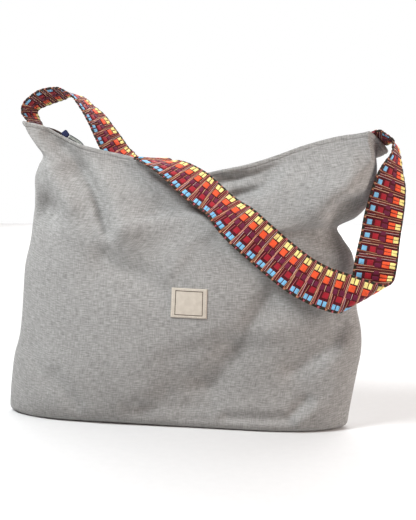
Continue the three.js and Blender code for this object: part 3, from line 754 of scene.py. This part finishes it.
# A piece of stitches: a small closed capsule of thread at each place
def thread_piece(name, centres, headings, normals, stitch, material):
    asides = np.cross(normals, headings)
    rings = []
    for along, share in THREAD_RINGS:
        for side in range(THREAD_SIDES):
            angle = 2 * math.pi * side / THREAD_SIDES
            out = asides * math.cos(angle) + normals * math.sin(angle) * THREAD_FLAT
            rings.append(centres + headings * stitch["half"] * along + out * stitch["radius"] * share)
    points = np.stack(rings, axis=1).reshape(-1, 3)
    index = np.arange(len(rings)).reshape(-1, THREAD_SIDES)
    after = np.roll(index, -1, axis=1)
    quads = np.stack([index[:-1], after[:-1], after[1:], index[1:]], axis=-1).reshape(-1, 4)
    one = [*quads.tolist(), index[0, ::-1].tolist(), index[-1].tolist()]
    starts = range(0, len(points), len(rings))
    faces = [[start + corner for corner in face] for start in starts for face in one]
    return make_piece(name, points, faces, [material], uvs=points[:, [0, 2]])


# Places at an even pitch along a line of points, with the heading there
def along_line(line, pitch):
    lengths = line_lengths(line)
    at = np.arange(pitch / 2, lengths[-1], pitch)

    def spots(places):
        return np.stack([np.interp(places, lengths, line[:, axis]) for axis in range(3)], axis=1)

    return spots(at), unit(spots(at + pitch / 4) - spots(at - pitch / 4))


# One panel as a grid of points on its outside, with or without its folds
def panel_points(side, worn):
    across = -np.cos(np.pi * np.arange(PANEL_COLUMNS + 1) / PANEL_COLUMNS)
    hem_rises = np.array([1 - row[0] / RIM[0][1] for row in HEM_ROWS])
    rises = np.arange(PANEL_LEVELS) / PANEL_LEVELS * hem_rises[0]
    rows = [base(side, across, share) for share in np.arange(BASE_ROWS) / BASE_ROWS]
    walls = wall(side, across, np.concatenate([rises, hem_rises])[:, None], worn)
    grid = np.concatenate([np.stack(rows), walls])
    first, last = BASE_ROWS - ROUNDING["rows"], BASE_ROWS + ROUNDING["rows"] + 1
    for _ in range(ROUNDING["passes"]):
        beside = grid[first - 1:last - 1] + grid[first + 1:last + 1]
        grid[first:last] = grid[first:last] / 2 + beside / 4
    grid[..., 2] = np.maximum(grid[..., 2], BASE_LIFT)
    return grid


# The outer and inner faces of a panel, thicker at the hem
def panel_faces(side):
    grid = panel_points(side, True)
    plain = BASE_ROWS + PANEL_LEVELS
    outwards = np.array([0.0] * plain + [row[1] for row in HEM_ROWS])
    inwards = np.array([LINEN_THICKNESS] * plain + [row[2] for row in HEM_ROWS])
    normals = grid_normals(grid) * -side
    for edge in (normals[:, 0], normals[:, -1], normals[0]):
        edge[:, 1] = 0
        edge[:] = unit(edge)
    return grid + normals * outwards[:, None, None], grid - normals * inwards[:, None, None]


# A panel as a piece, with its points and faces for whatever lies on it
def panel_piece(name, side, material):
    points, faces = slab(*panel_faces(side), flip=side > 0)
    plain = panel_points(side, False)
    widths = run_lengths(plain, 1)
    middle = widths[:, PANEL_COLUMNS // 2][:, None]
    cloth = both_sides(widths - middle, run_lengths(plain, 0))
    return make_piece(name, points, faces, [material], uvs=cloth), (points.tolist(), faces.tolist())


def hem_stitches(name, side, material):
    across = np.linspace(-HEM_LINE["ends"], HEM_LINE["ends"], HEM_LINE["steps"])
    rise = 1 - HEM_STITCH["below"] / RIM[0][1]
    line = wall(side, across, rise)
    above = wall(side, across, rise + HEM_LINE["rise"])
    normals = unit(np.cross(np.gradient(line, axis=0), above - line) * -side)
    line = line + normals * HEM_STITCH["proud"]
    spots, headings = along_line(line, HEM_STITCH["pitch"])
    nearest = np.argmin(np.linalg.norm(line[None] - spots[:, None], axis=2), axis=1)
    return thread_piece(name, spots, headings, normals[nearest], HEM_STITCH, material)


# A smooth line through points, at a number of steps between each two
def smooth_line(points, steps):
    points = np.asarray(points, dtype=float)
    ends = np.concatenate([[2 * points[0] - points[1]], points, [2 * points[-1] - points[-2]]])
    gaps = np.maximum(np.linalg.norm(np.diff(ends, axis=0), axis=1) ** 0.5, LEAST_GAP)
    line = []
    for index in range(len(points) - 1):
        p0, p1, p2, p3 = ends[index:index + 4]
        d0, d1, d2 = gaps[index:index + 3]
        start = ((p1 - p0) / d0 - (p2 - p0) / (d0 + d1) + (p2 - p1) / d1) * d1
        stop = ((p2 - p1) / d1 - (p3 - p1) / (d1 + d2) + (p3 - p2) / d2) * d1
        square = -3 * p1 + 3 * p2 - 2 * start - stop
        cube = 2 * p1 - 2 * p2 + start + stop
        line += [p1 + start * t + square * t**2 + cube * t**3 for t in np.arange(steps) / steps]
    return np.array([*line, points[-1]])


# Rows of points across the strap where it runs through places given by its two edges
def band_rows(places):
    fronts, backs = np.array(places, dtype=float).transpose(1, 0, 2)
    route = smooth_line((fronts + backs) / 2, STRAP_STEPS)
    lean = smooth_line(unit(backs - fronts), STRAP_STEPS)
    along = unit(np.gradient(route, axis=0))
    lean = unit(lean - along * np.sum(lean * along, axis=1, keepdims=True))
    offsets = (np.arange(STRAP_COLUMNS + 1) / STRAP_COLUMNS - 0.5) * STRAP_WIDTH
    return route[:, None] + lean[:, None] * offsets[:, None]


# A row of points across the strap where it rolls over in the bend
def bend_row(length, columns):
    heading = unit(BEND["heading"])
    axis = unit(heading + unit(BEND["turned"]))
    lead = heading @ axis
    swing = math.sqrt(1 - lead * lead)
    out = unit(heading - axis * lead)
    half = math.pi * BEND_RADIUS
    aside = (0.5 - np.arange(columns + 1) / columns) * STRAP_WIDTH
    run = length * swing + aside * lead
    angle = np.clip(run, 0, half) / BEND_RADIUS
    straight = np.minimum(run, 0) - np.maximum(run - half, 0)
    points = np.array(BEND["start"]) + axis * (length * lead - aside * swing)[:, None]
    points = points + out * (BEND_RADIUS * np.sin(angle) + straight)[:, None]
    points[:, 1] += BEND_RADIUS * (1 - np.cos(angle))
    return points


# How far back the outside of the front panel lies, as seen from the front
def panel_depth(panel_tree, x, z):
    hit = panel_tree.ray_cast(Vector((x, -1.0, z)), Vector((0, 1, 0)))[0]
    return hit.y if hit else math.inf


# The strap's middle surface, laid on the front panel where its table says so
def strap_rows(panel_tree):
    def edge(place):
        x, y, z = place
        return (x, panel_depth(panel_tree, x, z) - STRAP_LIFT if y is None else y, z)

    start, stop, lead = BEND_LENGTH["from"], BEND_LENGTH["to"], BEND_LENGTH["lead"]
    places = [(edge(front), edge(back)) for front, back in STRAP_ARCH + STRAP_FRONT]
    places += [bend_row(length, 1) for length in (start, start + lead)]
    later = [bend_row(length, 1) for length in (stop - lead, stop)] + list(STRAP_UP)
    before = band_rows(places)[:-STRAP_STEPS]
    after = band_rows(later)[STRAP_STEPS:]
    lengths = start + (stop - start) * np.arange(1, BEND_STEPS) / BEND_STEPS
    bend = np.stack([bend_row(length, STRAP_COLUMNS) for length in lengths])
    laid = before[len(STRAP_ARCH) * STRAP_STEPS:]
    into = [[y + STRAP_LIFT - panel_depth(panel_tree, x, z) for x, y, z in row] for row in laid]
    push = np.maximum(np.max(into, axis=1), 0)
    reach = STRAP_STEPS // 2
    widest = np.array([push[max(row - reach, 0):row + reach + 1].max() for row in range(len(push))])
    padded = np.pad(widest, reach, mode="edge")
    eased = np.convolve(padded, np.ones(2 * reach + 1) / (2 * reach + 1), mode="valid")
    laid[..., 1] -= eased[:, None]
    return np.concatenate([before, bend, after])


# The strap's surface as a map from (along, across, height) to points
class StrapSurface:
    def __init__(self, rows):
        self.rows = rows
        self.normals = grid_normals(rows)
        self.along = line_lengths(rows[:, rows.shape[1] // 2])

    def at(self, along, across, height):
        row = np.interp(along, self.along, np.arange(len(self.along)))
        column = np.clip(across, 0, 1) * (self.rows.shape[1] - 1)
        low_row = np.minimum(row.astype(int), len(self.along) - 2)
        low_column = np.minimum(column.astype(int), self.rows.shape[1] - 2)
        row_share = (row - low_row)[..., None]
        column_share = (column - low_column)[..., None]

        def blend(grid):
            near = mix(grid[low_row, low_column], grid[low_row, low_column + 1], column_share)
            far = mix(grid[low_row + 1, low_column], grid[low_row + 1, low_column + 1], column_share)
            return mix(near, far, row_share)

        return blend(self.rows) + unit(blend(self.normals)) * height[..., None]


# A raised patch on the strap: the shape of a block of floats with a ridge for each yarn
def block_shape(yarns):
    u = np.array(BLOCK_STATIONS)
    within = BLOCK["within"]
    inner = np.linspace(-within, within, 2 * yarns + 1)
    v = np.concatenate([[-1.0], inner, [1.0]])
    dome = np.sqrt(np.clip(1 - np.abs(u) ** BLOCK_POWERS["along"], 0, 1))
    ridge = mix(BLOCK["groove"], 1, np.abs(np.sin(np.pi * yarns * (inner + within) / (2 * within))))
    swell = np.sqrt(np.clip(1 - np.abs(inner) ** BLOCK_POWERS["across"], 0, 1))
    heights = np.full((len(u), len(v)), -FLOAT_SINK)
    heights[1:-1, 1:-1] = BLOCK["height"] * dome[1:-1, None] * ridge * mix(BLOCK["side"], 1, swell)
    return u, v, heights


# The shape of a thin cross yarn, long in the across direction
def yarn_shape(length):
    u = np.array(YARN_STATIONS)
    v = np.linspace(-1, 1, max(int(length / YARN["step"]), YARN["least_steps"]))
    heights = np.full((len(u), len(v)), -FLOAT_SINK)
    lumps = 1 - YARN_LUMPS["height"] * (1 - np.cos(np.arange(len(v)) * YARN_LUMPS["turn"]))
    heights[1:-1, 1:-1] = YARN["height"] * np.sqrt(1 - u[1:-1] ** 2)[:, None] * lumps[1:-1]
    return u, v, heights


# What each float of the weave is: the colours that it takes in turn, its shape, where its two ends lie along
# and across, and its half width
def block_floats(blocks):
    for tone, place, phases, length, width, yarn_count in blocks:
        reach = width / STRAP_WIDTH / 2
        for phase in phases:
            yield (tone,), block_shape(yarn_count), (phase, phase), (place - reach, place + reach), length / 2


def yarn_floats(rows):
    for tones, start, stop, *phases in rows:
        yield tones, yarn_shape((stop - start) * STRAP_WIDTH), phases, (start, stop), YARN["width"] / 2


# A piece of floats: closed patches on the strap, each once in every repeat of the weave and a little astray
def float_piece(name, surface, side, floats, form, materials):
    chance = np.random.default_rng(form["seed"])
    starts = np.arange(REPEAT, surface.along[-1] - REPEAT, REPEAT)
    names = list(materials)
    points, faces, uvs, slots = [], [], [], []
    count = 0

    def places(phase):
        stray = chance.uniform(-form["stray"], form["stray"], len(starts))
        return (starts + phase * REPEAT + stray)[:, None, None]

    for tones, (u, v, heights), phases, edges, half in floats:
        share = (v + 1) / 2
        along = mix(places(phases[0]), places(phases[1]), share) + half * u[:, None]
        across = np.broadcast_to(mix(*edges, share), along.shape)
        raised = np.broadcast_to((WEB["half"] + heights) * side, along.shape)
        points.append(surface.at(along, across, raised).reshape(-1, 3))
        uvs.append(np.stack([along, across * STRAP_WIDTH], axis=-1).reshape(-1, 2))
        index, quads = grid_faces(len(u), len(v))
        rim = np.concatenate([index[0, :-1], index[:-1, -1], index[-1, :0:-1], index[:0:-1, 0]])
        shape = [face[::side] for face in [*quads.tolist(), rim[::-1].tolist()]]
        for repeat in range(len(starts)):
            faces += [[corner + count for corner in face] for face in shape]
            slots += [names.index(tones[repeat % len(tones)])] * len(shape)
            count += index.size
    uvs = np.concatenate(uvs)
    return make_piece(name, np.concatenate(points), faces, materials.values(), slots, uvs)


# The ground of the strap, a thin band that is a little thinner at its edges
def strap_web(name, surface, material):
    rows = surface.rows
    place = np.linspace(0, 1, rows.shape[1])
    half = WEB["half"] * (1 - WEB["edge"] * np.abs(2 * place - 1) ** WEB["power"])
    out = surface.normals * half[:, None]
    along = np.broadcast_to(surface.along[:, None], rows.shape[:2])
    across = np.broadcast_to(place * STRAP_WIDTH, rows.shape[:2])
    return make_piece(name, *slab(rows + out, rows - out), [material], uvs=both_sides(along, across))


# Places turned in the plane of the front
def spin(x, z, angle):
    return x * math.cos(angle) - z * math.sin(angle), x * math.sin(angle) + z * math.cos(angle)


# The label, bent to the panel, with a worn edge and a plain frame line pressed into it
def label_piece(name, panel_tree, leather, line):
    columns, rows = LABEL_STEPS
    right = np.linspace(-0.5, 0.5, columns + 1) * LABEL["width"]
    up = np.linspace(-0.5, 0.5, rows + 1) * LABEL["height"]
    right, up = np.meshgrid(right, up)
    aside = LABEL["width"] / 2 - np.abs(right)
    below = LABEL["height"] / 2 - np.abs(up)
    worn = np.clip(np.minimum(aside, below) / LABEL_EDGE["reach"], 0, 1)
    from_frame = np.minimum(aside - LABEL_FRAME["side"], below - LABEL_FRAME["end"])
    sunk = LABEL_FRAME["sunk"] * np.exp(-((from_frame / LABEL_FRAME["half"]) ** 4))
    lift = LABEL_LIFT + LABEL_THICKNESS * mix(LABEL_EDGE["thin"], 1, np.sqrt(1 - (1 - worn) ** 2)) - sunk
    x, z = spin(right, up, LABEL["turn"])
    x, z = x + LABEL["x"], z + LABEL["z"]
    depths = [panel_depth(panel_tree, *place) for place in zip(x.flat, z.flat)]
    depth = np.reshape(depths, x.shape)
    outer = np.stack([x, depth - lift, z], axis=-1)
    points, faces = slab(outer, np.stack([x, depth - LABEL_LIFT, z], axis=-1))
    middle = np.abs(from_frame.ravel()[faces[:rows * columns]].mean(axis=1))
    slots = np.zeros(len(faces), dtype=int)
    slots[:rows * columns] = middle < LABEL_FRAME["half"]
    return make_piece(name, points, faces, [leather, line], slots), outer


# Stitches round the edge of the label
def label_stitches(name, outer, material):
    rows, columns = outer.shape[0] - 1, outer.shape[1] - 1
    left = round(LABEL_STITCH["inset"] / LABEL["width"] * columns)
    low = round(LABEL_STITCH["inset"] / LABEL["height"] * rows)
    right, high = columns - left, rows - low
    sides = (
        outer[low, left:right + 1],
        outer[low:high + 1, right],
        outer[high, left:right + 1][::-1],
        outer[low:high + 1, left][::-1],
    )
    places = [along_line(line, LABEL_STITCH["pitch"]) for line in sides]
    spots, headings = (np.concatenate(parts) for parts in zip(*places))
    normals = np.broadcast_to(np.array([0.0, -1.0, 0.0]), spots.shape)
    return thread_piece(name, spots, headings, normals, LABEL_STITCH, material)


# The pull: a tape with a cord along each edge, and a folded tab at its head
def pull_tape(name, tape, cord):
    route = smooth_line([(x, TAPE["depth"], z) for x, z in PULL_TAPE], TAPE_STEPS["along"])
    along = unit(np.gradient(route, axis=0))
    half = np.stack([along[:, 2], along[:, 1] * 0, -along[:, 0]], axis=1) * TAPE["width"] / 2
    place = np.linspace(-1, 1, TAPE_STEPS["across"] + 1)
    thick = np.where(np.abs(place) > TAPE_CORD["from"], TAPE["cord"], TAPE["half"])
    thick = thick * np.where(np.abs(place) == 1, TAPE_CORD["edge"], 1)
    rows = route[:, None] + half[:, None] * place[:, None]
    back = np.array([0.0, 1.0, 0.0]) * thick[:, None]
    points, faces = slab(rows - back, rows + back)
    cloth = both_sides(run_lengths(rows, 0), run_lengths(rows, 1))
    slots = np.abs(place[faces % len(place)].mean(axis=1)) > TAPE_CORD["from"]
    return make_piece(name, points, faces, [tape, cord], slots, cloth)


def pull_tab(name, material):
    steps = np.linspace(-1, 1, TAB_STEPS + 1)
    a, b = np.meshgrid(steps, steps, indexing="ij")
    index, quads = grid_faces(*a.shape)
    points, faces = [], []
    for axis in range(3):
        for sign in (-1, 1):
            flat = np.stack([np.full(a.shape, sign), a, b], axis=-1).reshape(-1, 3)
            spots = np.roll(flat, axis, axis=1)
            points.append(spots / np.linalg.norm(spots, ord=TAB_ROUND, axis=1, keepdims=True))
            faces.append(turned(quads)[:, ::sign] + len(faces) * index.size)
    x, y, z = np.concatenate(points).T * np.array([[TAB["width"]], [TAB["depth"]], [TAB["height"]]]) / 2
    x, z = spin(x, z, TAB["turn"])
    depth = TAPE["depth"] + TAB["depth"] / 2 - TAPE["cord"]
    points = np.stack([x + TAB["x"], y + depth, z + TAB["z"]], axis=1)
    cloth = np.tile(np.stack([a, b], axis=-1).reshape(-1, 2), (len(faces), 1)) * TAB["width"] / 2
    return make_piece(name, points, np.concatenate(faces), [material], uvs=cloth)


# A plain pale floor
def studio_floor():
    half = FLOOR["half"]
    mesh = bpy.data.meshes.new("floor")
    corners = [(-half, -half, 0), (half, -half, 0), (half, half, 0), (-half, half, 0)]
    mesh.from_pydata(corners, [], [(0, 1, 2, 3)])
    mesh.materials.append(floor_material("floor_pale"))
    floor = add_object("floor", mesh)


# A lamp or camera at a place, looking in a direction
def place_object(name, data, place, heading):
    made = add_object(name, data)
    made.location = place
    made.rotation_euler = heading.to_track_quat("-Z", "Y").to_euler()
    return made


# Soft studio light: large panels, a white wall behind the bag and a dimmer room in front of it
def studio_light():
    for name, place, aim, size, power, tint in LAMPS:
        data = bpy.data.lights.new(name, "AREA")
        data.size = size
        data.energy = power
        data.color = tint
        place_object(name, data, Vector(place), Vector(aim) - Vector(place))
    world = bpy.data.worlds.new("studio")
    world.use_nodes = True
    tree = world.node_tree
    heading = add_node(tree, "ShaderNodeTexCoord").outputs["Generated"]
    split = add_node(tree, "ShaderNodeSeparateXYZ", {"Vector": heading})
    surround = ramp(tree, split.outputs["Y"], (0.0, WALL_FROM), (ROOM_TONE, WALL_TONE))
    tree.links.new(surround, tree.nodes["Background"].inputs["Color"])
    bpy.context.scene.world = world


def studio_camera():
    azimuth = math.radians(CAMERA["azimuth"])
    elevation = math.radians(CAMERA["elevation"])
    level = math.cos(elevation)
    back = Vector((math.sin(azimuth) * level, -math.cos(azimuth) * level, math.sin(elevation)))
    data = bpy.data.cameras.new("camera")
    data.lens = CAMERA["lens"]
    data.sensor_width = CAMERA["sensor"]
    data.shift_x, data.shift_y = CAMERA_SHIFT
    place = Vector(CAMERA_TARGET) + back * CAMERA["distance"]
    bpy.context.scene.camera = place_object("camera", data, place, -back)


studio_camera()
studio_light()
studio_floor()
bpy.context.scene.view_settings.view_transform = "Standard"

# Materials
cloths = {name: linen_material(name, *tones) for name, tones in CLOTH_COLOURS.items()}
threads = {name: yarn_material(name, rgb, THREAD_ROUGHNESS) for name, rgb in THREAD_COLOURS.items()}
yarns = {tone: yarn_material("yarn_" + tone, rgb, YARN_ROUGHNESS) for tone, rgb in YARN_COLOURS.items()}
leathers = [leather_material(name, tones) for name, tones in LEATHER_COLOURS.items()]
ground = ground_material("strap_ground", GROUND_COLOURS)

# The bag
front, front_shape = panel_piece("linen_front", -1, cloths["linen"])
back, _ = panel_piece("linen_back", 1, cloths["linen"])
front_hem = hem_stitches("hem_stitches_front", -1, threads["linen_thread"])
back_hem = hem_stitches("hem_stitches_back", 1, threads["linen_thread"])
front_tree = BVHTree.FromPolygons(*front_shape)

strap_surface = StrapSurface(strap_rows(front_tree))
strap = strap_web("strap_web", strap_surface, ground)
strap_floats = [
    float_piece("strap_blocks_outer", strap_surface, -1, block_floats(OUTER_BLOCKS), BLOCK, yarns),
    float_piece("strap_yarns_outer", strap_surface, -1, yarn_floats(OUTER_YARNS), YARN, yarns),
    float_piece("strap_blocks_inner", strap_surface, 1, block_floats(INNER_BLOCKS), BLOCK, yarns),
    float_piece("strap_yarns_inner", strap_surface, 1, yarn_floats(INNER_YARNS), YARN, yarns),
]

label, label_outer = label_piece("label_patch", front_tree, *leathers)
label_threads = label_stitches("label_stitches", label_outer, threads["label_thread"])
loop = pull_tape("pull_tape", cloths["tape_grey"], threads["tape_dark"])
tab = pull_tab("pull_tab_cloth", cloths["tab_navy"])

# The imported part that each piece stands in for is hidden; the finish names listed here are not used
for piece, node, slot in (
    (front, "front_panel", "linen"),
    (back, "back_panel", "linen"),
    (strap, "strap", "strap_webbing"),
    (label, "label", "label_patch"),
    (loop, "pull_loop", "grey_tape"),
    (tab, "pull_tab", "navy_tab"),
):
    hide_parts(node)

# The cloth, as it was cut
for piece, stitches, key, other in ((front, front_hem, "front", back), (back, back_hem, "back", front)):
    *size, area = PANEL_CUT[key]
